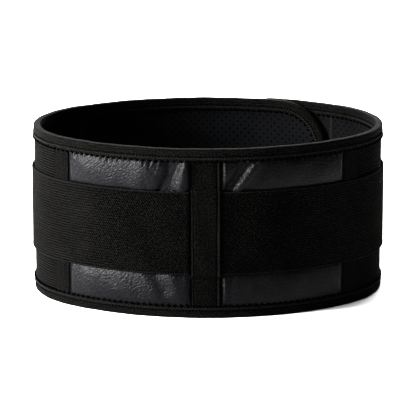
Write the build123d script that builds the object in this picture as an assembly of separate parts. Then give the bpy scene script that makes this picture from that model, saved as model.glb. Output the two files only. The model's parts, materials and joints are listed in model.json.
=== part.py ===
from build123d import *

import os
from math import atan2, cos, pi, sin, sqrt

# Lumbar support belt, closed into a ring and standing on its lower edge.
#
# Millimetres. +Z is up, +X is the wearer's right-hand side, and the lumbar panel faces -Y.
# The origin is the centre of the belt's box, on the plane that it stands on.
#
# The belt is one long strip that runs along a ring of tangent arcs. A place on it is a station
# (the length along the lining's inner face from the spine, positive to the right), a depth
# (outwards from the lining's inner face) and a height.

# The ring as closed, on the lining's inner face
waist_half_width = 159.0
waist_half_depth = 120.0
side_radius = 97.0
belt_height = 160.0

# Cloth layers, from the skin outwards
lining_thickness = 3.0
foam_thickness = 1.3
leather_thickness = 1.2
loop_panel_thickness = 1.8
cover_thickness = 0.9
binding_thickness = 0.8
binding_width = 11.5
ply_gap = 0.05

# The elastic pull straps
strap_thickness = 1.5
strap_height = 78.0
strap_middle = 81.0
strap_clearance = 0.2
tab_length = 64.0
tab_corner = 22.0

# Stations along the strip
spine_cover_width = 28.0
strap_start = 1.0
leather_start = 0.5
stay_cover_width = 17.3
side_hinge_station = 153.0
flap_hinge_before_front = 129.0
tab_hinge_before_front = 88.0
outer_flap_stop_before_front = 16.0
inner_flap_reach_past_front = 126.0
flap_corner = 50.0
hinge_gap = 0.4

# Hook fasteners
hook_thickness = 1.4
tab_hook_thickness = 1.3
body_gap = 0.4
main_hook_margin = 6.0
tab_hook_margin = 6.0

# Spring steel stays
stay_width = 10.0
stay_thickness = 0.7
stay_end_room = 3.0
stay_pair_pitch = 13.6
stay_side_room = 0.5
tip_wall = 0.25
tip_length = 8.0
tip_gap = 0.02

# Derived depths
core_depth = lining_thickness + foam_thickness + leather_thickness
flap_depth = lining_thickness + loop_panel_thickness
strap_depth = core_depth + cover_thickness + strap_clearance
strap_face = strap_depth + strap_thickness
spine_face = strap_face + ply_gap + cover_thickness
outer_hinge_depth = strap_face + 0.1
inner_hinge_depth = -binding_thickness - 0.1
closure_step = flap_depth + body_gap + max(hook_thickness, 2 * binding_thickness)

# Derived heights
core_low, core_high = binding_thickness, belt_height - binding_thickness
face_low, face_high = binding_width, belt_height - binding_width
strap_low, strap_high = strap_middle - strap_height / 2, strap_middle + strap_height / 2
stay_length = face_high - face_low - 2 * stay_end_room


def arcs_of_side(step):
    """The arcs of one half of the ring, from the spine to past the front.

    Each is (centre x, centre y, radius, first normal angle, length). Angles are from the
    spine. The front arc lies a step further out than the back one."""
    back = (waist_half_depth**2 + waist_half_width**2 - 2 * waist_half_width * side_radius) / (
        2 * (waist_half_depth - side_radius)
    )
    drop = back - waist_half_depth
    side, front = side_radius + step / 2, back + step
    y = step * (2 * (back - side) + step) / (4 * drop)
    x = sqrt((back - side) ** 2 - (y - drop) ** 2)
    leave_back, reach_front = atan2(x, drop - y), atan2(x, -(y + drop))
    return [
        (0.0, drop, back, 0.0, back * leave_back),
        (x, y, side, leave_back, side * (reach_front - leave_back)),
        (0.0, -drop, front, reach_front, front * pi),
    ]


ring = {-1: arcs_of_side(0.0), 1: arcs_of_side(closure_step)}


def front_station(hand):
    """The station of the front centre line, reached round the left (-1) or right (1) side."""
    back, side, front = ring[hand]
    return hand * (back[4] + side[4] + front[2] * (pi - front[3]))


def spans(start, end):
    """The arcs between two stations: (centre, radius, normal angle at each end)."""
    found = []
    for hand in (-1, 1):
        done = 0.0
        for x, y, radius, first, length in ring[hand]:
            low, high = sorted((hand * done, hand * (done + length)))
            low, high = max(low, start), min(high, end)
            if high - low > 1e-6:
                turn = [hand * (first + (hand * s - done) / radius) for s in (low, high)]
                found.append((low, (hand * x, y), radius, *turn))
            done += length
    return [span[1:] for span in sorted(found)]


def on_arc(centre, radius, angle):
    return (centre[0] + radius * sin(angle), centre[1] - radius * cos(angle))


def frame_at(station, depth=0.0, height=0.0):
    """A plane on the strip: x along it, y up, z outwards."""
    centre, radius, angle, _ = spans(station, station + 1e-3)[0]
    x, y = on_arc(centre, radius + depth, angle)
    return Plane(
        origin=(x, y, height), x_dir=(cos(angle), sin(angle), 0), z_dir=(sin(angle), -cos(angle), 0)
    )


def band(start, end, inner, outer, low, high):
    """A length of cloth that follows the ring between two stations, depths and heights."""
    start, end = sorted((start, end))
    edges, pieces = [], spans(start, end)
    for depth, row in ((inner, pieces), (outer, pieces[::-1])):
        for centre, radius, a, b in row:
            ends = (a, (a + b) / 2, b) if depth == inner else (b, (a + b) / 2, a)
            edges.append(ThreePointArc(*[on_arc(centre, radius + depth, t) for t in ends]))
    half = len(pieces)
    edges.insert(half, Line(edges[half - 1] @ 1, edges[half] @ 0))
    edges.append(Line(edges[-1] @ 1, edges[0] @ 0))
    return Pos(0, 0, low) * extrude(make_face(edges), amount=high - low, dir=(0, 0, 1))


def trimmed_end(cloth, tip, hand, radius, low, high):
    """Cuts cloth off at a tip station and rounds its two free corners, square to the cloth."""
    reach, depth = radius + 40, 80
    corners = frame_at(tip - hand * radius, height=(low + high) / 2)
    outline = Rectangle(2 * radius, high - low)
    ends = outline.vertices().filter_by_position(Axis.X, hand * radius - 0.1, hand * radius + 0.1)
    outline = fillet(ends, radius * 0.999)
    waste = Pos(hand * reach / 2, 0) * Rectangle(reach, high - low + 40) - outline
    return cloth - extrude(corners * waste, amount=depth / 2, both=True)


def binding(start, end, low_edge):
    """The folded tape over the strip's top or bottom edge."""
    low, high = (0, binding_width) if low_edge else (face_high, belt_height)
    core = (core_low, binding_width + 1) if low_edge else (face_high - 1, core_high)
    tape = band(start, end, -binding_thickness, core_depth + binding_thickness, low, high)
    return tape - band(start - 1, end + 1, 0, core_depth, *core)


def flap_shape(root, tip, hand, inner, outer, inset):
    """A flap's ply between two depths, its free end and corners set in from the edge."""
    low, high = inset, belt_height - inset
    ply = band(root, tip + hand * 2, inner, outer, low, high)
    return trimmed_end(ply, tip - hand * inset, hand, flap_corner - inset, low, high)


def flap_binding(root, tip, hand):
    """The folded tape round a flap: along the top, round the end and back along the bottom."""
    edge, open_root = binding_thickness, root - hand
    tape = flap_shape(root, tip, hand, -edge, flap_depth + edge, 0)
    tape -= flap_shape(open_root, tip, hand, 0, flap_depth, edge)
    tape -= flap_shape(open_root, tip, hand, -edge - 1, 0, binding_width)
    return tape - flap_shape(open_root, tip, hand, flap_depth, flap_depth + edge + 1, binding_width)


def stay_outline(grow=0.0):
    return Rot(0, 0, 90) * SlotOverall(stay_length + 2 * grow, stay_width + 2 * grow)


def stay_at(station):
    """A flat spring steel stay with rounded ends, in the foam's pocket."""
    middle = lining_thickness + ply_gap + (foam_thickness - ply_gap) / 2
    place = frame_at(station, middle, belt_height / 2)
    return extrude(place * stay_outline(), amount=stay_thickness / 2, both=True)


def stay_tips_at(station):
    """The two dipped plastic tips of a stay."""
    middle = lining_thickness + ply_gap + (foam_thickness - ply_gap) / 2
    place = frame_at(station, middle, belt_height / 2)
    shell = extrude(place * stay_outline(tip_wall), amount=stay_thickness / 2 + tip_wall / 2, both=True)
    shell -= extrude(place * stay_outline(tip_gap), amount=stay_thickness / 2 + tip_gap, both=True)
    keep = stay_length / 2 - tip_length
    shell -= extrude(place * Rectangle(4 * stay_width, 2 * keep), amount=stay_width, both=True)
    return shell.solids()


def spine_cover():
    """The tape over the spine, which steps out over the strap ends."""
    half, step = spine_cover_width / 2, cover_thickness
    low, high = face_low + strap_clearance, face_high - strap_clearance
    rest, raised = core_depth + ply_gap, strap_face + ply_gap
    over_low, over_high = strap_low - strap_clearance, strap_high + strap_clearance
    tape = band(-half, half, raised, spine_face, over_low - step, over_high + step)
    for from_z, to_z, edge in ((low, over_low, over_low - step), (over_high, high, over_high)):
        tape += band(-half, half, rest, rest + cover_thickness, from_z, to_z)
        tape += band(-half, half, rest, spine_face, edge, edge + step)
    return tape


def stay_stations():
    side = side_hinge_station - stay_cover_width / 2
    return {
        "spine_stay_left": -stay_pair_pitch / 2,
        "spine_stay_right": stay_pair_pitch / 2,
        "side_stay_left": -side,
        "side_stay_right": side,
    }


def back_panel():
    """The lumbar panel: lining, foam with its stays, leather, covers and binding."""
    end = side_hinge_station - hinge_gap / 2
    foam_depth = lining_thickness + foam_thickness
    foam = band(-end, end, lining_thickness + ply_gap, foam_depth, core_low, core_high)
    pocket = stay_length / 2 + tip_wall + stay_side_room
    reach = stay_width / 2 + tip_wall + stay_side_room
    for station in stay_stations().values():
        low, high = belt_height / 2 - pocket, belt_height / 2 + pocket
        foam -= band(station - reach, station + reach, 0, core_depth, low, high)
    parts = {
        "lining_back": band(-end, end, 0, lining_thickness, core_low, core_high),
        "lumbar_foam": foam,
        "spine_cover": spine_cover(),
        "stay_tips": Compound([t for s in stay_stations().values() for t in stay_tips_at(s)]),
        "binding_top_back": binding(-end, end, False),
        "binding_bottom_back": binding(-end, end, True),
    }
    parts |= {name: stay_at(station) for name, station in stay_stations().items()}
    for hand, side in ((-1, "left"), (1, "right")):
        near, cover = hand * end, hand * (side_hinge_station - stay_cover_width)
        low, high = face_low + strap_clearance, face_high - strap_clearance
        parts[f"leather_panel_{side}"] = band(
            hand * leather_start, near, foam_depth + ply_gap, core_depth, core_low, core_high
        )
        parts[f"stay_cover_{side}"] = band(
            cover, near, core_depth + ply_gap, core_depth + cover_thickness, low, high
        )
        parts[f"strap_back_{side}"] = band(
            hand * strap_start, near, strap_depth, strap_face, strap_low, strap_high
        )
    return parts


def side_panel(hand, side):
    """One elastic side of the belt, with the length of pull strap that lies over it."""
    start = hand * (side_hinge_station + hinge_gap / 2)
    end = front_station(hand) - hand * (flap_hinge_before_front + hinge_gap / 2)
    low_end, high_end = sorted((start, end))
    inner = lining_thickness + ply_gap
    return {
        f"lining_side_{side}": band(start, end, 0, lining_thickness, core_low, core_high),
        f"elastic_side_{side}": band(start, end, inner, core_depth, core_low, core_high),
        f"strap_side_{side}": band(start, end, strap_depth, strap_face, strap_low, strap_high),
        f"binding_top_{side}": binding(low_end, high_end, False),
        f"binding_bottom_{side}": binding(low_end, high_end, True),
    }


def flap(hand, name, side, tip):
    """One front flap, with the length of pull strap between its hinge and the tab."""
    root = front_station(hand) - hand * (flap_hinge_before_front - hinge_gap / 2)
    strap_end = front_station(hand) - hand * (tab_hinge_before_front + hinge_gap / 2)
    inner = lining_thickness + ply_gap
    return {
        f"lining_{name}": flap_shape(root, tip, hand, 0, lining_thickness, binding_thickness),
        f"loop_panel_{name}": flap_shape(root, tip, hand, inner, flap_depth, binding_thickness),
        f"binding_{name}": flap_binding(root, tip, hand),
        f"strap_front_{side}": band(root, strap_end, strap_depth, strap_face, strap_low, strap_high),
    }


def main_hook_patch(tip):
    """The hook fastener inside the outer flap, clear of the binding round the inner flap's end."""
    inset = binding_width + main_hook_margin
    start = front_station(1) - inner_flap_reach_past_front + flap_corner
    low, high = inset, belt_height - inset
    patch = band(start, tip, -hook_thickness, -ply_gap, low, high)
    return trimmed_end(patch, tip - inset, 1, flap_corner - inset, low, high)


def strap_tab(hand, side):
    """The free end of a pull strap, with the hook fastener inside it."""
    root = front_station(hand) - hand * (tab_hinge_before_front - hinge_gap / 2)
    tip = root + hand * tab_length
    tab = band(root, tip + hand, strap_depth, strap_face, strap_low, strap_high)
    low, high = strap_low + tab_hook_margin, strap_high - tab_hook_margin
    hook = band(
        root + hand * tab_hook_margin, tip, strap_depth - tab_hook_thickness, strap_depth - ply_gap, low, high
    )
    corner = tab_corner - tab_hook_margin
    return {
        f"strap_tab_{side}": trimmed_end(tab, tip, hand, tab_corner, strap_low, strap_high),
        f"hook_patch_{side}": trimmed_end(hook, tip - hand * tab_hook_margin, hand, corner, low, high),
    }


def belt():
    outer_tip = front_station(1) - outer_flap_stop_before_front
    inner_tip = front_station(-1) - inner_flap_reach_past_front
    parts = back_panel()
    parts |= side_panel(-1, "left") | side_panel(1, "right")
    parts |= flap(-1, "inner_flap", "left", inner_tip) | flap(1, "outer_flap", "right", outer_tip)
    parts["hook_patch_main"] = main_hook_patch(outer_tip)
    return parts | strap_tab(-1, "left") | strap_tab(1, "right")


def hinge_planes():
    """Where each vertical hinge line crosses z = 0, in the ring's own frame."""
    inner, outer = front_station(-1), front_station(1)
    return {
        "right_side": frame_at(side_hinge_station, outer_hinge_depth),
        "left_side": frame_at(-side_hinge_station, outer_hinge_depth),
        "outer_flap": frame_at(outer - flap_hinge_before_front, outer_hinge_depth),
        "inner_flap": frame_at(inner + flap_hinge_before_front, inner_hinge_depth),
        "right_tab": frame_at(outer - tab_hinge_before_front, outer_hinge_depth),
        "left_tab": frame_at(inner + tab_hinge_before_front, outer_hinge_depth),
    }


def main():
    os.makedirs("parts", exist_ok=True)
    parts = belt()
    middle = Compound(list(parts.values())).bounding_box().center()
    to_origin = Pos(-middle.X, -middle.Y, 0)
    for name, shape in parts.items():
        export_step(to_origin * shape, f"parts/{name}.step")
    print("ring centre at", round(-middle.X, 3), round(-middle.Y, 3))
    for name, plane in hinge_planes().items():
        print(name, round(plane.origin.X - middle.X, 3), round(plane.origin.Y - middle.Y, 3))


main()
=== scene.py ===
import json
from math import atan2, cos, pi, radians, sin, sqrt

import bmesh
import bpy
import numpy as np
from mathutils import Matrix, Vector


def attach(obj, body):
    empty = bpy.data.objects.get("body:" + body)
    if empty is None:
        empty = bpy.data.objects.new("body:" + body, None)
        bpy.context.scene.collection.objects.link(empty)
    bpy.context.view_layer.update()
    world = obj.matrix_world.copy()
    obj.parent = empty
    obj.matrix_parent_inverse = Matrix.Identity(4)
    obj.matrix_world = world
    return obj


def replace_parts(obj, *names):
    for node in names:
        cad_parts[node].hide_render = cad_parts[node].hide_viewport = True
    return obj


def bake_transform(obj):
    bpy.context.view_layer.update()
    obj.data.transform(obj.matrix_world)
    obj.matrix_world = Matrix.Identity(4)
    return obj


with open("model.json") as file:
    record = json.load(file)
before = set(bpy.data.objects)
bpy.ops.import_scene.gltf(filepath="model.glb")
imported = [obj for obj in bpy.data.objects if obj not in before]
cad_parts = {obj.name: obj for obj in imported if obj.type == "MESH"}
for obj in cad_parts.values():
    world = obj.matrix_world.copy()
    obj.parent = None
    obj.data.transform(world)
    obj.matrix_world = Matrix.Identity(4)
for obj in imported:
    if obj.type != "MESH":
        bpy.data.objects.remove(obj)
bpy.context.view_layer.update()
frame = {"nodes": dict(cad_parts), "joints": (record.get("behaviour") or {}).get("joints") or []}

# Lumbar support belt: cloth, leather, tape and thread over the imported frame. Metres throughout.
# A place on the belt is a station (length along the lining from the spine, left is negative),
# a depth (outwards from the lining's inner face) and a height.

belt = {
    "halfWidth": 0.159,
    "halfDepth": 0.120,
    "sideRadius": 0.097,
    "closureStep": 0.0068,  # how far the outer flap lies outside the inner one
    "height": 0.160,
    "core": 0.0055,         # lining, foam and outer ply together
    "flapCore": 0.0048,
    "lining": 0.0030,
    "sideSeam": 0.153,
    "flapSeam": 0.129,      # before the front centre line
    "tabSeam": 0.088,
    "outerStop": 0.016,
    "innerReach": 0.126,
    "flapCorner": 0.050,
    "bendLength": 0.026,    # length of the line that bendLine lays from each seam
    "tabBend": 0.020,
}
beltTop = belt["height"]
sideNames = {-1: "left", 1: "right"}
flapNames = {-1: "inner_flap", 1: "outer_flap"}
rng = np.random.default_rng(7)


def ringArcs(step):
    a, b, r = belt["halfWidth"], belt["halfDepth"], belt["sideRadius"]
    back = (b * b + a * a - 2 * a * r) / (2 * (b - r))
    drop, side, front = back - b, r + step / 2, back + step
    y = step * (2 * (back - side) + step) / (4 * drop)
    x = sqrt((back - side) ** 2 - (y - drop) ** 2)
    leave, reach = atan2(x, drop - y), atan2(x, -(y + drop))
    return [  # centre x, centre y, radius, first angle, first station
        (0.0, drop, back, 0.0, 0.0),
        (x, y, side, leave, back * leave),
        (0.0, -drop, front, reach, back * leave + side * (reach - leave)),
    ]


arcs = {-1: ringArcs(0.0), 1: ringArcs(belt["closureStep"])}
frontAt = {h: h * (arcs[h][2][4] + arcs[h][2][2] * (pi - arcs[h][2][3])) for h in (-1, 1)}
flapSeamAt = {h: frontAt[h] - h * belt["flapSeam"] for h in (-1, 1)}
tabSeamAt = {h: frontAt[h] - h * belt["tabSeam"] for h in (-1, 1)}
flapTipAt = {-1: frontAt[-1] - belt["innerReach"], 1: frontAt[1] - belt["outerStop"]}


def ringPoint(s, depth):
    s, depth = np.broadcast_arrays(np.asarray(s, float), np.asarray(depth, float))
    x, y = np.zeros(s.shape), np.zeros(s.shape)
    nx, ny = np.zeros(s.shape), np.zeros(s.shape)
    for hand in (-1, 1):
        mine = (s < 0) if hand < 0 else (s >= 0)
        for cx, cy, radius, first, start in arcs[hand]:
            here = mine & (np.abs(s) >= start)
            turn = first + (np.abs(s[here]) - start) / radius
            nx[here], ny[here] = hand * np.sin(turn), -np.cos(turn)
            x[here] = hand * cx + (radius + depth[here]) * nx[here]
            y[here] = cy + (radius + depth[here]) * ny[here]
    return x, y, nx, ny


hingePos = {j["name"]: j["pos_m"] for j in frame["joints"]}
anchorX, anchorY, _, _ = ringPoint(belt["sideSeam"], 0.0082)
ringX = hingePos["right_side_opening"][0] - float(anchorX)
ringY = hingePos["right_side_opening"][1] - float(anchorY)


def place(s, depth, z):
    x, y, _, _ = ringPoint(s, depth)
    return np.stack(np.broadcast_arrays(x + ringX, y + ringY, z), -1)


def outward(s):
    _, _, nx, ny = ringPoint(s, 0.0)
    return np.stack([nx, ny, np.zeros(nx.shape)], -1)


def smoothStep(a, b, x):
    t = np.clip((x - a) / (b - a), 0, 1)
    return t * t * (3 - 2 * t)


def hill(x, centre, width):
    return np.exp(-(((x - centre) / width) ** 2))


def makeObject(name, points, faces, uvs, material):
    mesh = bpy.data.meshes.new(name)
    mesh.from_pydata(points.tolist(), [], faces.tolist())
    layer = mesh.uv_layers.new(name="cloth")
    loops = np.zeros(len(mesh.loops), np.int32)
    mesh.loops.foreach_get("vertex_index", loops)
    layer.data.foreach_set("uv", uvs[loops].astype(np.float32).ravel())
    mesh.materials.append(material)
    mesh.shade_smooth()
    mesh.set_sharp_from_angle(angle=radians(50))
    piece = bpy.data.objects.new(name, mesh)
    bpy.context.scene.collection.objects.link(piece)
    return piece


def gridFaces(rows, cols, first, flip):
    i, j = np.meshgrid(np.arange(rows - 1), np.arange(cols - 1), indexing="ij")
    a = first + i * cols + j
    quads = np.stack([a, a + cols, a + cols + 1, a + 1], -1).reshape(-1, 4)
    return quads[:, ::-1] if flip else quads


def closedSheet(name, outer, inner, uv, material, hand):
    # outer and inner are grids of points [station, height, xyz]; the four edges are walled
    n, m = outer.shape[:2]
    count = n * m
    points = np.concatenate([outer.reshape(-1, 3), inner.reshape(-1, 3)])
    flip = hand < 0
    edge = np.concatenate([
        np.arange(m), np.arange(1, n) * m + m - 1,
        (n - 1) * m + np.arange(m - 2, -1, -1), np.arange(n - 2, 0, -1) * m,
    ])
    after = np.roll(edge, -1)
    walls = np.stack([edge, edge + count, after + count, after], -1)
    faces = np.concatenate([
        gridFaces(n, m, 0, flip), gridFaces(n, m, count, not flip), walls if flip else walls[:, ::-1],
    ])
    uvs = np.concatenate([uv.reshape(-1, 2), uv.reshape(-1, 2)])
    return makeObject(name, points, faces, uvs, material)


def stations(start, end, step):
    return np.linspace(start, end, max(2, round(abs(end - start) / step) + 1))


def sheetBetween(
    name, start, end, low, high, innerDepth, outerDepth, material, steps,
    corner=0.0, lip=0.0, fine=0.0, held="stretched",
):
    # a ply between two stations and heights; corner rounds the two free corners at its far end
    hand = 1 if end > start else -1
    length = abs(end - start)
    run = stations(fine, length - corner, steps[0])
    if fine:  # closer columns where the cloth starts
        run = np.concatenate([stations(0, fine, 0.0006)[:-1], run])
    if corner:
        turn = np.linspace(0, pi / 2, 16)[1:]
        run = np.concatenate([run, length - corner + corner * np.sin(turn)])
    v = np.linspace(-1, 1, max(2, round((high - low) / steps[1]) + 1))
    short = np.clip(run - (length - corner), 0, corner)
    half = (high - low) / 2 - (corner - np.sqrt(np.maximum(corner**2 - short**2, 0)))
    s = (start + hand * run)[:, None] * np.ones(len(v))
    z = (low + high) / 2 + half[:, None] * v
    out = outerDepth(s, z) if callable(outerDepth) else outerDepth + 0 * z
    inn = innerDepth(s, z) if callable(innerDepth) else innerDepth + 0 * z
    if lip:  # cut edges roll in a little
        across = np.minimum(z - z.min(1, keepdims=True), z.max(1, keepdims=True) - z)
        gap = np.minimum(across, length - run[:, None])
        out = out - lip * np.exp(-gap / lip)
    piece = closedSheet(name, place(s, out, z), place(s, inn, z), np.stack([s, z], -1), material, hand)
    return piece


def ribs(z, pitch, height):
    return height * (np.abs(np.sin(pi * z / pitch)) - 1)


def feed(tree, node, inputs):
    # each input is given as a value or as another node's output
    for label, value in inputs.items():
        if isinstance(value, bpy.types.NodeSocket):
            tree.links.new(value, node.inputs[label])
        else:
            node.inputs[label].default_value = value


def addNode(tree, kind, inputs=None, **settings):
    node = tree.nodes.new(kind)
    for name, value in settings.items():
        setattr(node, name, value)
    feed(tree, node, inputs or {})
    return node


def nodeMaterial(name):
    material = bpy.data.materials.new(name)
    material.use_nodes = True
    tree = material.node_tree
    tree.nodes.clear()
    shader = addNode(tree, "ShaderNodeBsdfPrincipled")
    addNode(tree, "ShaderNodeOutputMaterial", {0: shader.outputs[0]})
    return material, tree, shader


def mathNode(tree, kind, a, b=0.0, c=0.0):
    return addNode(tree, "ShaderNodeMath", {0: a, 1: b, 2: c}, operation=kind).outputs[0]


def clothCoordinates(tree):
    # the piece's own UV, in millimetres along the belt and up it
    uv = addNode(tree, "ShaderNodeUVMap", uv_map="cloth")
    scale = addNode(tree, "ShaderNodeVectorMath", operation="SCALE")
    feed(tree, scale, {0: uv.outputs[0], 3: 1000.0})
    split = addNode(tree, "ShaderNodeSeparateXYZ", {0: scale.outputs[0]})
    return scale.outputs[0], split.outputs[0], split.outputs[1]


def noiseNode(tree, vector, size, detail=2.0, stretch=(1, 1, 1)):
    mapping = addNode(tree, "ShaderNodeMapping", {0: vector, "Scale": stretch})
    inputs = {"Vector": mapping.outputs[0], "Scale": 1.0 / size, "Detail": detail}
    return addNode(tree, "ShaderNodeTexNoise", inputs).outputs["Fac"]


def rampColour(tree, mix, dark, light, span=(0.0, 1.0)):
    ramp = addNode(tree, "ShaderNodeValToRGB", {0: mix})
    for i, colour in enumerate((dark, light)):
        ramp.color_ramp.elements[i].position = span[i]
        ramp.color_ramp.elements[i].color = (*colour, 1)
    return ramp.outputs[0]


def bumpNormal(tree, height, look):
    inputs = {"Height": height, "Strength": look["relief"], "Distance": look["reliefDepth"]}
    return addNode(tree, "ShaderNodeBump", inputs).outputs[0]


def wave(tree, value, pitch):
    return mathNode(tree, "SINE", mathNode(tree, "MULTIPLY", value, 2 * pi / pitch))


def weaveHeight(tree, vector, along, up, look):
    kind, pitch = look["weave"], look["pitch"]

    def calc(*terms):
        return mathNode(tree, *terms)
    if kind == "knit":
        row = wave(tree, up, pitch)
        column = wave(tree, calc("ADD", along, calc("MULTIPLY", row, 0.12)), pitch * 1.2)
        return calc("MULTIPLY", row, column)
    if kind == "rib":
        row = calc("ABSOLUTE", calc("SINE", calc("MULTIPLY", up, pi / pitch)))
        if "fade" in look:  # the ribs sink into plain weave near the spine
            near = addNode(tree, "ShaderNodeMapRange", interpolation_type="SMOOTHSTEP")
            limits = zip(("From Min", "From Max", "To Min", "To Max"), look["fade"])
            feed(tree, near, {"Value": calc("ABSOLUTE", along), **dict(limits)})
            row = calc("MULTIPLY", row, near.outputs["Result"])
        stitch = wave(tree, calc("ADD", along, calc("MULTIPLY", up, 0.6)), look["stitch"])
        return calc("MULTIPLY_ADD", stitch, look.get("twill", 0.2), row)
    if kind == "herringbone":
        zig = calc("PINGPONG", calc("ADD", along, 500.0), 2.4)
        return wave(tree, calc("ADD", up, zig), pitch)
    return noiseNode(tree, vector, pitch, 3.0)


def clothMaterial(name, look):
    material, tree, shader = nodeMaterial(name)
    vector, along, up = clothCoordinates(tree)
    height = weaveHeight(tree, vector, along, up, look)
    grain = noiseNode(tree, vector, look["grain"], 3.0, look.get("grainStretch", (1, 1, 1)))
    cloud = noiseNode(tree, vector, 28.0, 2.0)
    middle = 0.325 - 0.5 * look["mottle"] - look.get("mean", 0.0) * look["contrast"]
    mix = mathNode(tree, "MULTIPLY_ADD", height, look["contrast"], middle)
    mix = mathNode(tree, "MULTIPLY_ADD", grain, look["mottle"], mix)
    mix = mathNode(tree, "MULTIPLY_ADD", cloud, 0.35, mix)
    if "rim" in look:  # painted highlight: paler where the tape folds over the edge and along the strap's selvedges, standing in for the light that falls on these edges
        centre, distance, side, amount = look["rim"]
        away = mathNode(tree, "ABSOLUTE", mathNode(tree, "SUBTRACT", up, centre))
        mix = mathNode(tree, "MULTIPLY_ADD", mathNode(tree, side, away, distance), amount, mix)
    relief = mathNode(tree, "MULTIPLY_ADD", grain, look["grainRelief"], height)
    feed(tree, shader, {
        "Base Color": rampColour(tree, mix, look["dark"], look["light"], (0.25, 0.75)),
        "Normal": bumpNormal(tree, relief, look),
        "Roughness": look["roughness"],
        "Sheen Weight": look["sheen"],
        "Sheen Roughness": 0.45,
        "Sheen Tint": (0.9, 0.9, 1.0, 1),
        "Specular IOR Level": look.get("specular", 0.015),
    })
    return material


leatherLook = {
    "dark": (0.0003, 0.0003, 0.0005), "light": (0.0080, 0.0082, 0.0096), "roughness": (0.31, 0.41),
    "grain": 1.8, "grainTurn": 38, "grainStretch": (0.55, 1.3, 1), "pebble": 2.0, "relief": 0.9,
    "reliefDepth": 0.00058,
    "specular": 0.086,
}


def leatherMaterial():
    look = leatherLook
    material, tree, shader = nodeMaterial("pebbledLeather")
    vector, along, up = clothCoordinates(tree)
    mirrored = addNode(tree, "ShaderNodeCombineXYZ")  # the two panels' grain leans opposite ways
    feed(tree, mirrored, {0: mathNode(tree, "ABSOLUTE", along), 1: up})
    turn = (0, 0, radians(look["grainTurn"]))
    turned = addNode(tree, "ShaderNodeMapping", {0: mirrored.outputs[0], "Rotation": turn}).outputs[0]
    cells = addNode(tree, "ShaderNodeTexVoronoi", feature="SMOOTH_F1")
    feed(tree, cells, {"Vector": turned, "Scale": 1 / look["pebble"]})
    creases = noiseNode(tree, turned, look["grain"], 3.0, look["grainStretch"])
    cloud = noiseNode(tree, vector, 16.0, 3.0)
    height = mathNode(tree, "MULTIPLY", cells.outputs["Distance"], -0.5)
    height = mathNode(tree, "MULTIPLY_ADD", creases, 1.6, height)
    mix = mathNode(tree, "MULTIPLY_ADD", cloud, 0.6, -0.55)
    mix = mathNode(tree, "MULTIPLY_ADD", creases, 1.5, mix)
    low, high = look["roughness"]
    feed(tree, shader, {
        "Base Color": rampColour(tree, mix, look["dark"], look["light"]),
        "Normal": bumpNormal(tree, height, look),
        "Roughness": mathNode(tree, "MULTIPLY_ADD", cloud, high - low, low),
        "Specular IOR Level": look["specular"],
    })
    return material


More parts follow.
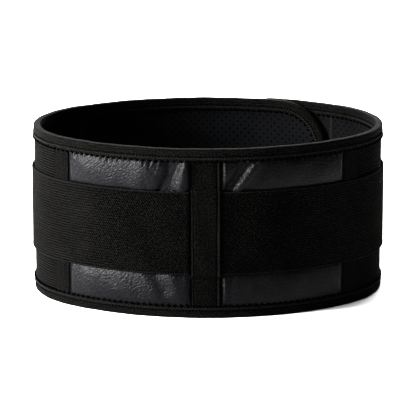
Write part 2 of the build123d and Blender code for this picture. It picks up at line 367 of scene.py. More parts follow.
# pitch, stitch and grain in millimetres, relief depth in metres
fabricLooks = {
    "perforatedNeoprene": {
        "weave": "knit", "pitch": 0.75, "grain": 1.4, "mottle": 0.45, "contrast": 0.10, "grainRelief": 0.8,
        "dark": (0.00084, 0.00088, 0.00099), "light": (0.00520, 0.00551, 0.00643), "relief": 0.5,
        "reliefDepth": 0.00018,
        "roughness": 0.62, "sheen": 0.004, "specular": 0.04,
    },
    "ribbedElastic": {
        "weave": "rib", "pitch": 2.45, "stitch": 1.3, "grain": 1.7, "mottle": 1.5, "contrast": 0.95,
        "mean": 0.64, "grainRelief": 1.1,
        "dark": (0.00040, 0.00040, 0.00037), "light": (0.00840, 0.00826, 0.00784), "relief": 0.7,
        "reliefDepth": 0.00030,
        "roughness": 0.85, "sheen": 0.003, "grainStretch": (0.6, 1, 1),
    },
    "wovenStrap": {
        "weave": "rib", "pitch": 2.45, "stitch": 2.3, "twill": 0.42, "fade": (60, 140, 0.35, 1.0),
        "grain": 1.45, "mottle": 1.9, "contrast": 0.42,
        # rim: painted highlight, a paler band along both selvedges of the strap
        "mean": 0.5, "rim": (81.0, 38.1, "GREATER_THAN", 0.45),
        "grainRelief": 1.8,
        "dark": (0.00040, 0.00040, 0.00037), "light": (0.00960, 0.00944, 0.00893), "relief": 1.0,
        "reliefDepth": 0.00055,
        "roughness": 0.86, "sheen": 0.003, "grainStretch": (0.8, 1, 1),
    },
    "bindingTape": {
        "weave": "rib", "pitch": 1.8, "stitch": 1.1, "grain": 1.6, "mottle": 2.2, "contrast": 0.30,
        "mean": 0.64,
        # rim: painted highlight, a paler band round the tape's fold
        "rim": (14.1, 2.6, "LESS_THAN", 0.42), "grainRelief": 1.0,
        "dark": (0.00050, 0.00050, 0.00045), "light": (0.00880, 0.00866, 0.00810), "relief": 0.8,
        "reliefDepth": 0.00040,
        "roughness": 0.8, "sheen": 0.008,
    },
    "spineTape": {
        "weave": "grain", "pitch": 1.1, "grain": 1.6, "mottle": 1.9, "contrast": 0.9, "mean": 0.5,
        "grainRelief": 1.0,
        "dark": (0.00040, 0.00040, 0.00036), "light": (0.00700, 0.00685, 0.00646), "relief": 1.0,
        "reliefDepth": 0.00050,
        "roughness": 0.8, "sheen": 0.003,
    },
    "herringboneTape": {
        "weave": "herringbone", "pitch": 1.9, "grain": 1.6, "mottle": 2.4, "contrast": 0.34,
        "grainRelief": 1.0,
        "dark": (0.00050, 0.00050, 0.00047), "light": (0.01020, 0.00996, 0.00964), "relief": 0.8,
        "reliefDepth": 0.00035,
        "roughness": 0.84, "sheen": 0.003,
    },
    "loopCloth": {
        "weave": "grain", "pitch": 0.7, "grain": 2.2, "mottle": 1.8, "contrast": 1.4, "mean": 0.5,
        "grainRelief": 1.6,
        "dark": (0.00060, 0.00060, 0.00060), "light": (0.00760, 0.00750, 0.00735), "relief": 1.0,
        "reliefDepth": 0.0008,
        "roughness": 0.95, "sheen": 0.025,
    },
    "paddingFoam": {
        "weave": "grain", "pitch": 0.6, "grain": 2.0, "mottle": 0.5, "contrast": 0.2, "grainRelief": 0.5,
        "dark": (0.03, 0.03, 0.03), "light": (0.06, 0.06, 0.06), "relief": 0.6, "reliefDepth": 0.0003,
        "roughness": 0.95, "sheen": 0.0,
    },
    "sewingThread": {
        "weave": "knit", "pitch": 0.3, "grain": 0.8, "mottle": 0.4, "contrast": 0.2, "grainRelief": 0.4,
        "dark": (0.00200, 0.00200, 0.00190), "light": (0.01500, 0.01460, 0.01420), "relief": 0.3,
        "reliefDepth": 0.0001,
        "roughness": 0.6, "sheen": 0.02, "specular": 0.15,
    },
    "hookTape": {
        "weave": "grain", "pitch": 0.5, "grain": 1.0, "mottle": 0.3, "contrast": 0.2, "grainRelief": 0.4,
        "dark": (0.00090, 0.00090, 0.00099), "light": (0.00576, 0.00576, 0.00612), "relief": 0.3,
        "reliefDepth": 0.0001,
        "roughness": 0.42, "sheen": 0.0, "specular": 0.5,
    },
    # near black: painted shade, used for the perforations, needle holes, notches at the tape's edge and
    # shadow gaps
    "paintedRecessShade": {
        "weave": "grain", "pitch": 0.5, "grain": 1.0, "mottle": 0.3, "contrast": 0.1, "grainRelief": 0.2,
        "dark": (0.0004, 0.0004, 0.0004), "light": (0.0012, 0.0012, 0.0012), "relief": 0.1,
        "reliefDepth": 0.00005,
        "roughness": 1.0, "sheen": 0.0, "specular": 0.0,
    },
}
finishes = {name: clothMaterial(name, look) for name, look in fabricLooks.items()}
finishes["pebbledLeather"] = leatherMaterial()


def metalOrPlastic(name, colour, metallic, roughness, grainSize):
    material, tree, shader = nodeMaterial(name)
    spot = addNode(tree, "ShaderNodeTexCoord").outputs["Object"]
    grain = addNode(tree, "ShaderNodeTexNoise", {"Scale": 1 / grainSize, "Vector": spot}).outputs["Fac"]
    feed(tree, shader, {
        "Base Color": rampColour(tree, grain, [0.8 * c for c in colour], colour),
        "Roughness": mathNode(tree, "MULTIPLY_ADD", grain, 0.15, roughness),
        "Metallic": metallic,
    })
    return material


finishes["springSteel"] = metalOrPlastic("springSteel", (0.56, 0.57, 0.58), 1.0, 0.28, 0.0008)
finishes["dippedTip"] = metalOrPlastic("dippedTip", (0.85, 0.85, 0.83), 0.0, 0.45, 0.002)
print("materials made")


def newTree(name, sockets):
    tree = bpy.data.node_groups.new(name, "GeometryNodeTree")
    keys = {}
    for label, kind, value in sockets:
        item = tree.interface.new_socket(label, in_out="INPUT", socket_type="NodeSocket" + kind)
        if value is not None:
            item.default_value = value
        keys[label] = item.identifier
    tree.interface.new_socket("Geometry", in_out="OUTPUT", socket_type="NodeSocketGeometry")
    return tree, keys, addNode(tree, "NodeGroupInput").outputs, addNode(tree, "NodeGroupOutput")


def namedVector(tree, name):
    kind = "GeometryNodeInputNamedAttribute"
    return addNode(tree, kind, {"Name": name}, data_type="FLOAT_VECTOR").outputs[0]


def facing(tree, zAxis, xAxis):
    kind = "FunctionNodeAlignRotationToVector"
    first = addNode(tree, kind, {"Vector": zAxis}, axis="Z")
    inputs = {"Rotation": first.outputs[0], "Vector": xAxis}
    return addNode(tree, kind, inputs, axis="X", pivot_axis="Z").outputs[0]


def finishTree(tree, instances, material, groupOut):
    real = addNode(tree, "GeometryNodeRealizeInstances", {0: instances})
    paint = addNode(tree, "GeometryNodeSetMaterial", {"Geometry": real.outputs[0], "Material": material})
    tree.links.new(paint.outputs[0], groupOut.inputs[0])


def stitchTree():
    # one thread bead per pitch along a seam line, turned alternately left and right
    tree, keys, given, groupOut = newTree("seamStitches", [
        ("Seam", "Geometry", None), ("Pitch", "Float", 0.003), ("Length", "Float", 0.0026),
        ("Radius", "Float", 0.00028), ("Slant", "Float", 0.0), ("Seed", "Int", 3),
        ("Thread", "Material", None),
    ])

    def calc(*terms):
        return mathNode(tree, *terms)
    curve = addNode(tree, "GeometryNodeMeshToCurve", {0: given["Seam"]})
    spaced = addNode(tree, "GeometryNodeResampleCurve", mode="LENGTH")
    feed(tree, spaced, {"Curve": curve.outputs[0], "Length": given["Pitch"]})
    bead = addNode(tree, "GeometryNodeMeshUVSphere", {"Segments": 6, "Rings": 5, "Radius": 1.0})
    soft = addNode(tree, "GeometryNodeSetShadeSmooth", {"Geometry": bead.outputs[0]})
    vary = addNode(tree, "FunctionNodeRandomValue", {2: 0.88, 3: 1.06, "Seed": given["Seed"]})
    size = addNode(tree, "ShaderNodeCombineXYZ", {
        0: calc("MULTIPLY", calc("MULTIPLY", given["Length"], 0.5), vary.outputs[1]),
        1: given["Radius"],
        2: calc("MULTIPLY", given["Radius"], 0.8),
    })
    tangent = addNode(tree, "GeometryNodeInputTangent")
    spread = addNode(tree, "GeometryNodeInstanceOnPoints", {
        "Points": spaced.outputs[0],
        "Instance": soft.outputs[0],
        "Rotation": facing(tree, namedVector(tree, "outward"), tangent.outputs[0]),
        "Scale": size.outputs[0],
    })
    index = addNode(tree, "GeometryNodeInputIndex").outputs[0]
    side = calc("SUBTRACT", calc("MULTIPLY", calc("MODULO", index, 2.0), 2.0), 1.0)
    turn = addNode(tree, "ShaderNodeCombineXYZ", {2: calc("MULTIPLY", side, given["Slant"])})
    lean = addNode(tree, "GeometryNodeRotateInstances", {
        "Instances": spread.outputs[0], "Rotation": turn.outputs[0], "Local Space": True,
    })
    finishTree(tree, lean.outputs[0], given["Thread"], groupOut)
    return tree, keys


def perforationTree():
    # staggered rows of dark discs, painted shade for the lining's holes, along a guide line, kept clear of
    # the rounded end
    tree, keys, given, groupOut = newTree("perforations", [
        ("Guide", "Geometry", None), ("Pitch", "Float", 0.004), ("Row Pitch", "Float", 0.0035),
        ("Columns", "Int", 10), ("Rows", "Int", 10), ("First Row", "Float", 0.0),
        ("First Column", "Float", 0.0), ("Hole Radius", "Float", 0.0006), ("Tip", "Float", 10.0),
        ("Corner", "Float", 0.0), ("Middle", "Float", 0.08), ("Half Height", "Float", 0.08),
        ("Shade", "Material", None),
    ])

    def calc(*terms):
        return mathNode(tree, *terms)
    curve = addNode(tree, "GeometryNodeMeshToCurve", {0: given["Guide"]})
    count = calc("MULTIPLY", given["Columns"], given["Rows"])
    cloud = addNode(tree, "GeometryNodePoints", {"Count": count})
    index = addNode(tree, "GeometryNodeInputIndex").outputs[0]
    row = calc("FLOORED_MODULO", index, given["Rows"])
    column = calc("FLOOR", calc("DIVIDE", index, given["Rows"]))
    shift = calc("MULTIPLY", calc("FLOORED_MODULO", row, 2.0), 0.5)
    along = calc("MULTIPLY", calc("ADD", column, shift), given["Pitch"])
    along = calc("ADD", along, given["First Column"])
    up = calc("ADD", calc("MULTIPLY", row, given["Row Pitch"]), given["First Row"])
    sample = addNode(tree, "GeometryNodeSampleCurve", mode="LENGTH", data_type="FLOAT_VECTOR")
    feed(tree, sample, {"Curves": curve.outputs[0], "Value": namedVector(tree, "outward"), "Length": along})
    lift = addNode(tree, "ShaderNodeCombineXYZ", {2: up})
    spot = addNode(tree, "ShaderNodeVectorMath", {0: sample.outputs["Position"], 1: lift.outputs[0]})
    move = addNode(tree, "GeometryNodeSetPosition")
    feed(tree, move, {"Geometry": cloud.outputs[0], "Position": spot.outputs[0]})
    pastEnd = calc("SUBTRACT", along, calc("SUBTRACT", given["Tip"], given["Corner"]))
    offMiddle = calc("ABSOLUTE", calc("SUBTRACT", up, given["Middle"]))
    pastSide = calc("SUBTRACT", offMiddle, calc("SUBTRACT", given["Half Height"], given["Corner"]))
    a = calc("MAXIMUM", pastEnd, 0.0)
    b = calc("MAXIMUM", pastSide, 0.0)
    reach = calc("SQRT", calc("ADD", calc("MULTIPLY", a, a), calc("MULTIPLY", b, b)))
    keep = calc("LESS_THAN", reach, calc("ADD", given["Corner"], 1e-6))
    hole = addNode(tree, "GeometryNodeMeshCircle", fill_type="NGON")
    feed(tree, hole, {"Vertices": 8, "Radius": given["Hole Radius"]})
    inwardWay = addNode(tree, "ShaderNodeVectorMath", operation="SCALE")
    feed(tree, inwardWay, {0: sample.outputs["Value"], 3: -1.0})
    spread = addNode(tree, "GeometryNodeInstanceOnPoints", {
        "Points": move.outputs[0],
        "Selection": keep,
        "Instance": hole.outputs[0],
        "Rotation": facing(tree, inwardWay.outputs[0], sample.outputs["Tangent"]),
    })
    finishTree(tree, spread.outputs[0], given["Shade"], groupOut)
    return tree, keys


stitching = stitchTree()
punching = perforationTree()


def guideLine(points, normals):
    mesh = bpy.data.meshes.new("guide")
    mesh.from_pydata(points.tolist(), [(i, i + 1) for i in range(len(points) - 1)], [])
    layer = mesh.attributes.new("outward", "FLOAT_VECTOR", "POINT")
    layer.data.foreach_set("vector", normals.astype(np.float32).ravel())
    guide = bpy.data.objects.new("guide", mesh)
    bpy.context.scene.collection.objects.link(guide)
    return guide


def runTree(tools, guide, values):
    tree, keys = tools
    modifier = guide.modifiers.new("nodes", "NODES")
    modifier.node_group = tree
    for label, value in values.items():
        modifier[keys[label]] = value
    view = bpy.context.evaluated_depsgraph_get()
    result = bpy.data.meshes.new_from_object(guide.evaluated_get(view))
    guide.modifiers.remove(modifier)
    bpy.data.objects.remove(guide)
    return result


def seamRow(points, normals, look):
    values = {
        "Pitch": look["pitch"], "Length": look["length"], "Radius": look["radius"],
        "Slant": radians(look["slant"]), "Seed": 3, "Thread": finishes[look.get("thread", "sewingThread")],
    }
    return runTree(stitching, guideLine(points, normals), values)


def joined(name, meshes):
    whole = bmesh.new()
    for mesh in meshes:
        whole.from_mesh(mesh)
    mesh = bpy.data.meshes.new(name)
    whole.to_mesh(mesh)
    whole.free()
    for material in meshes[0].materials:
        mesh.materials.append(material)
    co = np.zeros(len(mesh.vertices) * 3, np.float32)
    mesh.vertices.foreach_get("co", co)
    co = co.reshape(-1, 3)
    if not mesh.uv_layers:
        mesh.uv_layers.new(name="cloth")
    loops = np.zeros(len(mesh.loops), np.int32)
    mesh.loops.foreach_get("vertex_index", loops)
    uv = np.stack([co[:, 0] + co[:, 1], co[:, 2]], -1)[loops]
    mesh.uv_layers[0].name = "cloth"
    mesh.uv_layers[0].data.foreach_set("uv", uv.astype(np.float32).ravel())
    piece = bpy.data.objects.new(name, mesh)
    bpy.context.scene.collection.objects.link(piece)
    return piece


def bendLine(s, hand, length):
    start, end = place(s, 0.004, 0.08), place(s + hand * length, 0.004, 0.08)
    return dict(start=tuple(start), end=tuple(end))


def onBack(piece):
    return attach(piece, "back")


def onSide(piece, hand):
    line = bendLine(hand * belt["sideSeam"], hand, belt["bendLength"])
    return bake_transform(piece)


def onFlap(piece, hand):
    line = bendLine(flapSeamAt[hand], hand, belt["bendLength"])
    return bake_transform(piece)


def onTab(piece, hand):
    line = bendLine(tabSeamAt[hand], hand, belt["tabBend"])
    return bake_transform(piece)


liningLook = {
    "low": 0.0008, "high": 0.1592, "step": (0.003, 0.004), "pitch": 0.0077, "rowPitch": 0.0038,
    "holeRadius": 0.00088, "edgeMargin": 0.0150, "seamMargin": 0.006,
    "proud": 0.00006, "tipMargin": 0.0145, "short": 0.0008,
}


def perforate(name, start, end, rounded=False):
    hand = 1 if end > start else -1
    length = abs(end - start)
    s = stations(start, end, 0.002)
    guide = guideLine(place(s, -liningLook["proud"], 0.0), outward(s))
    low, high = liningLook["edgeMargin"], beltTop - liningLook["edgeMargin"]
    rows = int((high - low) / liningLook["rowPitch"]) + 1
    farMargin = liningLook["edgeMargin" if rounded else "seamMargin"]
    room = length - liningLook["seamMargin"] - farMargin
    values = {
        "Pitch": liningLook["pitch"], "Row Pitch": liningLook["rowPitch"],
        "Columns": int(room / liningLook["pitch"]) + 1,
        "Rows": rows, "First Row": low + (high - low - (rows - 1) * liningLook["rowPitch"]) / 2,
        "First Column": liningLook["seamMargin"], "Hole Radius": liningLook["holeRadius"],
        "Shade": finishes["paintedRecessShade"],
        "Tip": 10.0, "Corner": 0.0, "Middle": beltTop / 2, "Half Height": beltTop / 2,
    }
    if rounded:
        inset = liningLook["tipMargin"]
        values |= {
            "Tip": length - inset, "Corner": belt["flapCorner"] - inset, "Half Height": beltTop / 2 - inset,
        }
    return joined(name, [runTree(punching, guide, values)])


def makeLinings():
    look, cloth = liningLook, finishes["perforatedNeoprene"]
    low, high, t = look["low"], look["high"], belt["lining"]
    seam = belt["sideSeam"]
    back = sheetBetween("liningBack", -seam, seam, low, high, t, 0.0, cloth, look["step"])
    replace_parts(onBack(back), "lining_back")
    onBack(perforate("perforationsBack", -seam, seam))
    for hand, side in sideNames.items():
        end, flap = flapSeamAt[hand], flapNames[hand]
        piece = sheetBetween(f"liningSide_{side}", hand * seam, end, low, high, t, 0.0, cloth, look["step"])
        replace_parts(onSide(piece, hand), f"lining_side_{side}")
        onSide(perforate(f"perforationsSide_{side}", hand * seam, end), hand)
        tip = flapTipAt[hand] - hand * look["short"]
        piece = sheetBetween(
            f"liningFlap_{side}", end, tip, low, high, t, 0.0, cloth, look["step"],
            belt["flapCorner"] - look["short"]
        )
        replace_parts(onFlap(piece, hand), f"lining_{flap}")
        holes = perforate(f"perforationsFlap_{side}", end, flapTipAt[hand], True)
        onFlap(holes, hand)


makeLinings()
print("linings made")


foamLook = {
    "inner": 0.00305, "outer": 0.0043, "low": 0.0009, "high": 0.1591, "short": 0.0004,
    "step": (0.0015, 0.004),
    "stays": (0.0068, 0.14435), "pocket": 0.00575, "pocketTop": 0.0665, "web": 0.00015,
}


def makeFoam():
    def innerFace(s, z):
        near = np.min([np.abs(np.abs(s) - middle) for middle in foamLook["stays"]], 0)
        pocket = (near < foamLook["pocket"]) & (np.abs(z - beltTop / 2) < foamLook["pocketTop"])
        return np.where(pocket, foamLook["outer"] - foamLook["web"], foamLook["inner"])
    end = belt["sideSeam"] - foamLook["short"]
    pad = sheetBetween(
        "lumbarFoam", -end, end, foamLook["low"], foamLook["high"], innerFace, foamLook["outer"],
        finishes["paddingFoam"], foamLook["step"], held=None
    )
    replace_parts(onBack(pad), "lumbar_foam")


leatherPanel = {
    "start": 0.0005, "low": 0.0009, "high": 0.1591, "inner": 0.00435, "base": 0.0053, "spineEdge": 0.0140,
    "coverEdge": 0.1345, "end": 0.1505,
    "windowLow": (0.0115, 0.0425), "windowHigh": (0.1195, 0.1485), "bulge": 0.0030,
    "step": (0.0009, 0.0009),
    "gatherPitch": 0.0058, "gatherHeight": 0.0012, "gatherReach": 0.0036, "deepest": -0.0008,
    "proudest": 0.0052,
}


def foldLine(s, z, start, end, width, height):
    # a straight crease from one (station, height) to another
    d = np.array(end) - np.array(start)
    length = np.hypot(*d)
    t = ((s - start[0]) * d[0] + (z - start[1]) * d[1]) / length**2
    off = ((s - start[0]) * d[1] - (z - start[1]) * d[0]) / length
    fade = smoothStep(-0.25, 0.15, t) * (1 - smoothStep(0.85, 1.25, t))
    return height * np.exp(-((off / width) ** 2)) * fade


leatherFolds = {  # start, end (station, height), width, height
    -1: [
        ((-0.0270, 0.151), (-0.0385, 0.118), 0.0058, -0.0052),
        ((-0.0180, 0.151), (-0.0235, 0.118), 0.0052, 0.0023),
        ((-0.0130, 0.151), (-0.0145, 0.118), 0.0018, -0.0022),
        ((-0.0560, 0.146), (-0.0640, 0.120), 0.0090, 0.0016),
        ((-0.0920, 0.146), (-0.0700, 0.124), 0.0080, -0.0005),
        ((-0.1200, 0.140), (-0.0850, 0.122), 0.0070, 0.0005),
        ((-0.0500, 0.046), (-0.0360, 0.024), 0.0060, -0.0020),
        ((-0.0330, 0.046), (-0.0230, 0.018), 0.0060, 0.0012),
        ((-0.0150, 0.044), (-0.0150, 0.012), 0.0022, -0.0016),
        ((-0.1050, 0.040), (-0.0800, 0.018), 0.0080, 0.0005),
    ],
    1: [
        ((0.0490, 0.151), (0.0255, 0.117), 0.0034, 0.0017),
        ((0.0395, 0.151), (0.0175, 0.119), 0.0050, -0.0042),
        ((0.0600, 0.148), (0.0350, 0.116), 0.0050, -0.0008),
        ((0.0165, 0.150), (0.0165, 0.118), 0.0016, 0.0005),
        ((0.1100, 0.146), (0.0800, 0.122), 0.0080, -0.0005),
        ((0.0165, 0.044), (0.0170, 0.012), 0.0016, 0.0004),
        ((0.0240, 0.044), (0.0190, 0.012), 0.0030, -0.0014),
        ((0.0900, 0.040), (0.0600, 0.016), 0.0080, 0.0005),
    ],
}


def leatherDepth(hand):
    look = leatherPanel
    phase = rng.uniform(0, 2 * pi, 6)

    def depth(s, z):
        u = np.abs(s)
        inside = smoothStep(look["spineEdge"] - 0.0005, look["spineEdge"] + 0.0028, u)
        inside = inside * (1 - smoothStep(look["coverEdge"] - 0.0045, look["coverEdge"] + 0.0008, u))
        total = np.zeros(s.shape)
        window = np.zeros(s.shape)
        for low, high in (look["windowLow"], look["windowHigh"]):
            t = np.clip((z - low) / (high - low), 0, 1)
            window = np.maximum(window, np.where((z > low) & (z < high), np.sin(pi * t) ** 0.55, 0))
        puff = 1 + 0.14 * np.sin(u / 0.011 + phase[0]) + 0.08 * np.sin(u / 0.0053 + phase[1])
        total += look["bulge"] * window * puff
        wander = 0.0006 * np.sin(u / 0.013 + phase[2]) + 0.0003 * np.sin(u / 0.0047 + phase[3])
        gather = 0.5 + 0.5 * np.sin(2 * pi * (u + wander) / look["gatherPitch"])
        gather = (gather**0.7 - 0.75) * (0.85 + 0.35 * np.sin(u / 0.0071 + phase[4]))
        reachLength = look["gatherReach"] * (1 + 0.35 * np.sin(u / 0.0061 + phase[5]))
        for edge, amount in ((look["windowHigh"][1], 1.0), (look["windowLow"][0], 0.35)):
            away = np.abs(z - edge)
            total += amount * look["gatherHeight"] * gather * np.exp(-((away / reachLength) ** 2))
        for fold in leatherFolds[hand]:
            total += foldLine(s, z, *fold)
        total += 0.00012 * np.sin(s / 0.0031 + z / 0.0043) * window
        total *= inside * (window > 0)
        strapBand = (z > look["windowLow"][1]) & (z < look["windowHigh"][0])
        return look["base"] + np.where(strapBand, 0, np.clip(total, look["deepest"], look["proudest"]))
    return depth


elasticPanel = {
    "start": 0.1508, "inner": 0.00305, "outer": 0.0055, "ribPitch": 0.00245, "ribHeight": 0.00055,
    "step": (0.003, 0.00035), "low": 0.0009, "high": 0.1591,
}
loopPanel = {"inner": 0.00305, "short": 0.0008, "step": (0.003, 0.004), "low": 0.0008, "high": 0.1592}


def coreDepth(s):
    # the outer ply thins just past the flap seam
    before = np.where(s < 0, np.abs(s) - abs(flapSeamAt[-1]), np.abs(s) - abs(flapSeamAt[1]))
    return belt["core"] - (belt["core"] - belt["flapCore"]) * smoothStep(0.0, 0.015, before)


def elasticFace(s, z):
    return elasticPanel["outer"] + ribs(z, elasticPanel["ribPitch"], elasticPanel["ribHeight"])


def loopFace(s, z):
    return coreDepth(s)


def makeOuterPlies():
    for hand, side in sideNames.items():
        look = leatherPanel
        piece = sheetBetween(
            f"leatherPanel_{side}", hand * look["start"], hand * look["end"], look["low"], look["high"],
            look["inner"], leatherDepth(hand), finishes["pebbledLeather"], look["step"]
        )
        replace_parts(onBack(piece), f"leather_panel_{side}")
        look = elasticPanel
        piece = sheetBetween(
            f"elasticPanel_{side}", hand * look["start"], flapSeamAt[hand], look["low"], look["high"],
            look["inner"], elasticFace, finishes["ribbedElastic"], look["step"]
        )
        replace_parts(onSide(piece, hand), f"elastic_side_{side}")
        look = loopPanel
        piece = sheetBetween(
            f"loopPanel_{side}", flapSeamAt[hand], flapTipAt[hand] - hand * look["short"], look["low"],
            look["high"], look["inner"], loopFace, finishes["loopCloth"], look["step"],
            belt["flapCorner"] - look["short"]
        )
        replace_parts(onFlap(piece, hand), f"loop_panel_{flapNames[hand]}")


makeFoam()
makeOuterPlies()
print("plies made")


spineCover = {
    "half": 0.0140, "low": 0.0117, "high": 0.1483, "thickness": 0.0009, "rest": 0.00555, "raised": 0.00815,
    "strapLow": 0.0418, "strapHigh": 0.1202, "ridge": 0.0010, "ridgeAt": 0.0115, "leftSeamAt": -0.0122,
    "edgeAt": 0.0127, "edgeDrop": 0.00075, "step": (0.0003, 0.0012),
}
stayCover = {
    "start": 0.1357, "end": 0.1528, "inner": 0.00555, "thickness": 0.0008, "lip": 0.0003,
    "step": (0.00045, 0.002),
}


def makeCovers():
    look = spineCover

    def underside(s, z):
        over = smoothStep(look["strapLow"] - 0.0045, look["strapLow"], z)
        over = over * (1 - smoothStep(look["strapHigh"], look["strapHigh"] + 0.0045, z))
        return look["rest"] + (look["raised"] - look["rest"]) * over

    def face(s, z):
        edge = look["ridge"] * hill(s, look["ridgeAt"], 0.0008)
        edge = edge - 0.0006 * hill(s, look["ridgeAt"] - 0.0019, 0.0006)
        groove = -0.0005 * hill(s, look["leftSeamAt"] + 0.0010, 0.0006)
        slack = 0.0003 * np.sin(s / 0.0042 + z / 0.021) + 0.00025 * np.sin(z / 0.0085 + s / 0.009)
        roll = -look["edgeDrop"] * smoothStep(look["edgeAt"] - 0.0004, look["edgeAt"] + 0.0003, np.abs(s))
        slack = slack * (np.abs(s) < 0.0100)
        return underside(s, z) + look["thickness"] + edge + groove + slack + roll
    piece = sheetBetween(
        "spineCover", -look["half"], look["half"], look["low"], look["high"], underside, face,
        finishes["spineTape"], look["step"]
    )
    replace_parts(onBack(piece), "spine_cover")
    stay = stayCover

    def coverFace(s, z):
        u = np.abs(s) - stay["start"]
        strip = 0.00035 * smoothStep(0.0, 0.0008, u) * (1 - smoothStep(0.0030, 0.0038, u))
        groove = -0.0008 * hill(u, 0.0040, 0.0005)
        crown = 0.00022 * np.sin(np.clip((u - 0.0045) / 0.0125, 0, 1) * pi)
        rib = 0.00006 * np.sin(2 * pi * z / 0.0021)
        return stay["inner"] + stay["thickness"] + strip + groove + crown + rib
    for hand, side in sideNames.items():
        piece = sheetBetween(
            f"stayCover_{side}", hand * stay["start"], hand * stay["end"], look["low"], look["high"],
            stay["inner"], coverFace, finishes["herringboneTape"], stay["step"], lip=stay["lip"]
        )
        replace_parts(onBack(piece), f"stay_cover_{side}")


makeCovers()


bindingLook = {
    "width": 0.0115, "thickness": 0.0008, "step": 0.0009, "ribPitch": 0.0029, "ribHeight": 0.00030,
    "scallop": 0.00035, "scallopPitch": 0.0058, "cornerSteps": 30, "bend": 0.0016, "seamIn": 0.0088,
    "seamSink": 0.0003,
}


def bindingProfile(core):
    # (distance in from the edge, depth) round the fold and back inside it
    t, w = bindingLook["thickness"], bindingLook["width"]
    bend = bindingLook["bend"]
    wide = np.linspace(w - 0.0002, bend, 24)
    swell = 0.5 - 0.5 * np.cos(2 * pi * (wide - bend) / bindingLook["ribPitch"])
    ridge = bindingLook["ribHeight"] * swell - 0.00012
    ridge = ridge * smoothStep(0.0, 0.002, wide - 0.0010) * (1 - smoothStep(0.0068, 0.0078, wide))
    ridge = ridge - bindingLook["seamSink"] * hill(wide, bindingLook["seamIn"], 0.0009)
    ridge = ridge - 0.00035 * smoothStep(w - 0.0009, w, wide)
    turn = np.linspace(0, pi / 2, 6)[1:]
    inner = [(x, -t - r) for x, r in zip(wide, ridge)]
    over1 = [(bend - bend * sin(a), -t + (bend - bend * cos(a))) for a in turn]
    over2 = [(bend - bend * cos(a), core + t - bend + bend * sin(a)) for a in turn]
    outer = [(x, core + t + r) for x, r in zip(wide[::-1], ridge[::-1])]
    lining = [
        (w, core + 0.0001), (bend, core + 0.00004), (0.0009, core - 0.0006),
        (0.0009, 0.0006), (bend, -0.00004), (w, -0.0001),
    ]
    return np.array(inner + over1 + over2 + outer + lining)


def bindingAlong(name, s, z, inS, inZ, material, uvStart=0.0):
    # s and z follow the belt's edge; inS and inZ point into the cloth
    core = coreDepth(s)
    across = len(bindingProfile(belt["core"]))
    run = np.concatenate([[0], np.cumsum(np.hypot(np.diff(s), np.diff(z)))]) + uvStart
    grid = np.zeros((len(s), across, 3))
    uv = np.zeros((len(s), across, 2))
    shape = {round(c, 5): bindingProfile(c) for c in core}
    for i in range(len(s)):
        profile = shape[round(core[i], 5)]
        w = profile[:, 0].copy()
        rim = w > bindingLook["width"] - 0.0004
        wander = 0.0001 * sin(run[i] / 0.0067)
        w[rim] += bindingLook["scallop"] * sin(2 * pi * run[i] / bindingLook["scallopPitch"]) + wander
        lift = 0.00012 * sin(run[i] / 0.011) + 0.00008 * sin(run[i] / 0.0043)
        w = w - lift * (w < 0.004)
        w = np.maximum(w, -0.0002)
        grid[i] = place(s[i] + inS[i] * w, profile[:, 1], z[i] + inZ[i] * w)
        girth = np.concatenate([[0], np.cumsum(np.hypot(*np.diff(profile, axis=0).T))])
        uv[i] = np.stack([np.full(across, run[i]), girth], -1)
    n = len(s)
    i, j = np.meshgrid(np.arange(n - 1), np.arange(across), indexing="ij")
    nextJ = (j + 1) % across
    here, after = i * across, (i + 1) * across
    quads = np.stack([here + j, here + nextJ, after + nextJ, after + j], -1).reshape(-1, 4)
    points = grid.reshape(-1, 3)
    piece = makeObject(name, points, quads, uv.reshape(-1, 2), material)
    mesh = bmesh.new()
    mesh.from_mesh(piece.data)
    mesh.verts.ensure_lookup_table()
    for first in (0, (n - 1) * across):
        cutEnd = range(first, first + across)
        rim = [e for e in mesh.edges if e.is_boundary and all(v.index in cutEnd for v in e.verts)]
        bmesh.ops.holes_fill(mesh, edges=rim, sides=0)
    bmesh.ops.triangulate(mesh, faces=[f for f in mesh.faces if len(f.verts) > 4])
    bmesh.ops.recalc_face_normals(mesh, faces=mesh.faces)
    mesh.to_mesh(piece.data)
    mesh.free()
    across = 2 * bindingLook["width"] + belt["core"] + 2 * bindingLook["thickness"]
    return piece


def straightEdge(start, end, top):
    s = stations(start, end, bindingLook["step"])
    z = np.full(s.shape, beltTop if top else 0.0)
    return s, z, np.zeros(s.shape), np.full(s.shape, -1.0 if top else 1.0)


def flapEdge(hand):
    # along the top, round the free end and back along the bottom
    tip, corner = flapTipAt[hand], belt["flapCorner"]
    top = stations(flapSeamAt[hand], tip - hand * corner, bindingLook["step"])
    turn = np.linspace(0, pi / 2, bindingLook["cornerSteps"] * 2)[1:]
    down = stations(beltTop - corner, corner, bindingLook["step"])[1:]
    s = [top, tip - hand * corner + hand * corner * np.sin(turn), np.full(down.shape, tip),
         tip - hand * corner + hand * corner * np.cos(turn), top[::-1][1:]]
    z = [np.full(top.shape, beltTop), beltTop - corner + corner * np.cos(turn), down,
         corner - corner * np.sin(turn), np.zeros(len(top) - 1)]
    inS = [
        0 * top, -hand * np.sin(turn), np.full(down.shape, -float(hand)), -hand * np.cos(turn),
        np.zeros(len(top) - 1)
    ]
    inZ = [0 * top - 1, -np.cos(turn), 0 * down, np.sin(turn), np.ones(len(top) - 1)]
    return [np.concatenate(part) for part in (s, z, inS, inZ)]


